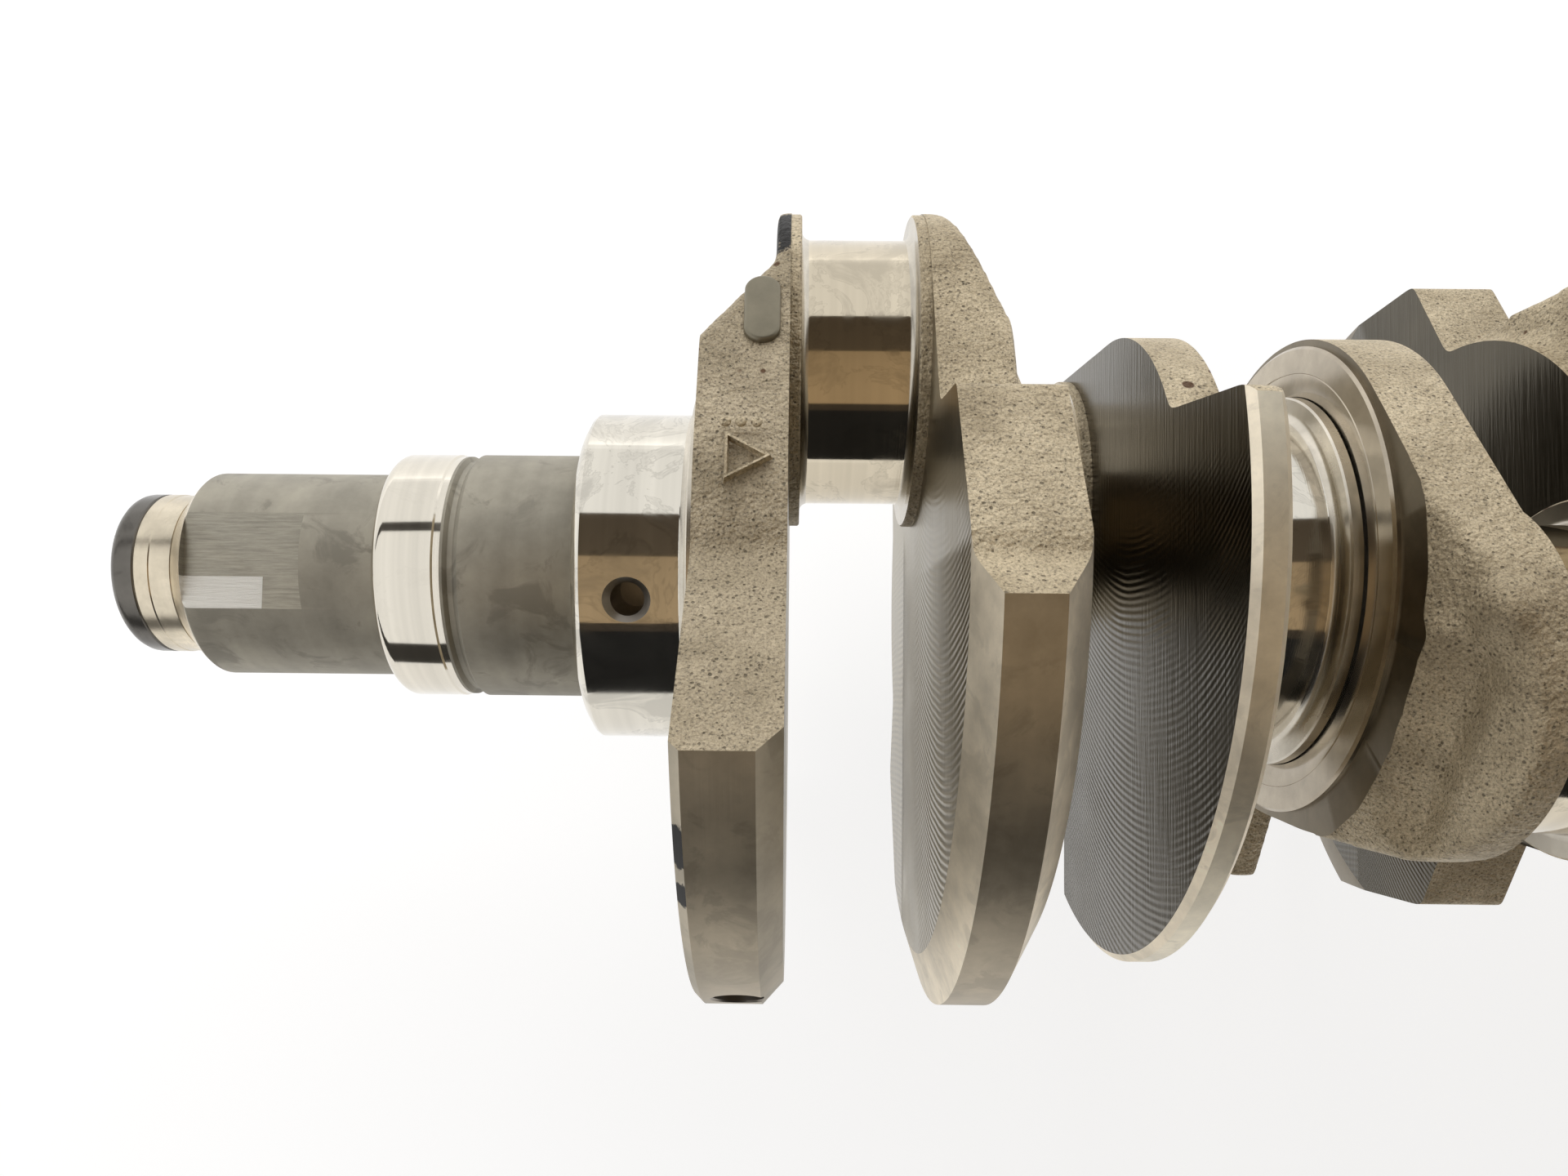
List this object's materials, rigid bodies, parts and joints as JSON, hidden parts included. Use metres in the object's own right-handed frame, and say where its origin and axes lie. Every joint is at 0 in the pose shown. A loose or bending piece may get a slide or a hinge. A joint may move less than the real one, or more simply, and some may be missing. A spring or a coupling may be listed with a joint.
{
  "type": "crankshaft",
  "caption": "Forged vee-engine crankshaft: ground main journals and crankpins between forged webs with turned counterweights, a stepped nose and a drilled flywheel flange.",
  "frame": {"origin": "on the main axis, at the middle of the first main journal", "axes": "+X along the main axis from the nose towards the flywheel flange, +Y from the main axis towards the first crankpin, +Z completes a right-handed set"},
  "size_m": [0.4513, 0.155, 0.1537],
  "materials": {
    "ground_journal": "ground and polished steel with fine lines round the axis and light handling stains",
    "turned_steel": "fine turned steel, matte grey-brown",
    "forged_skin": "shot-blasted forging skin with pits, turned rims and milled faces",
    "blackened_tip": "darkened steel, worn bright at the edges",
    "bronze_bush": "sintered bronze, dull",
    "dowel_steel": "hardened and ground steel pin"
  },
  "bodies": {
    "root": {"nose_tip": "blackened_tip", "nose_land": "turned_steel", "seal_ring": "ground_journal", "nose_shoulder": "turned_steel", "main_journal_1": "ground_journal", "main_journal_2": "ground_journal", "main_journal_3": "ground_journal", "main_journal_4": "ground_journal", "thrust_collar": "ground_journal", "crankpin_1": "ground_journal", "crankpin_2": "ground_journal", "crankpin_3": "ground_journal", "crankpin_4": "ground_journal", "crankpin_5": "ground_journal", "crankpin_6": "ground_journal", "web_1": "forged_skin", "web_2": "forged_skin", "web_3": "forged_skin", "web_4": "forged_skin", "web_5": "forged_skin", "web_6": "forged_skin", "web_7": "forged_skin", "web_8": "forged_skin", "web_9": "forged_skin", "rear_seal_collar": "ground_journal", "flywheel_flange": "turned_steel", "flywheel_dowel": "dowel_steel", "pilot_bush": "bronze_bush"}
  },
  "joints": []
}
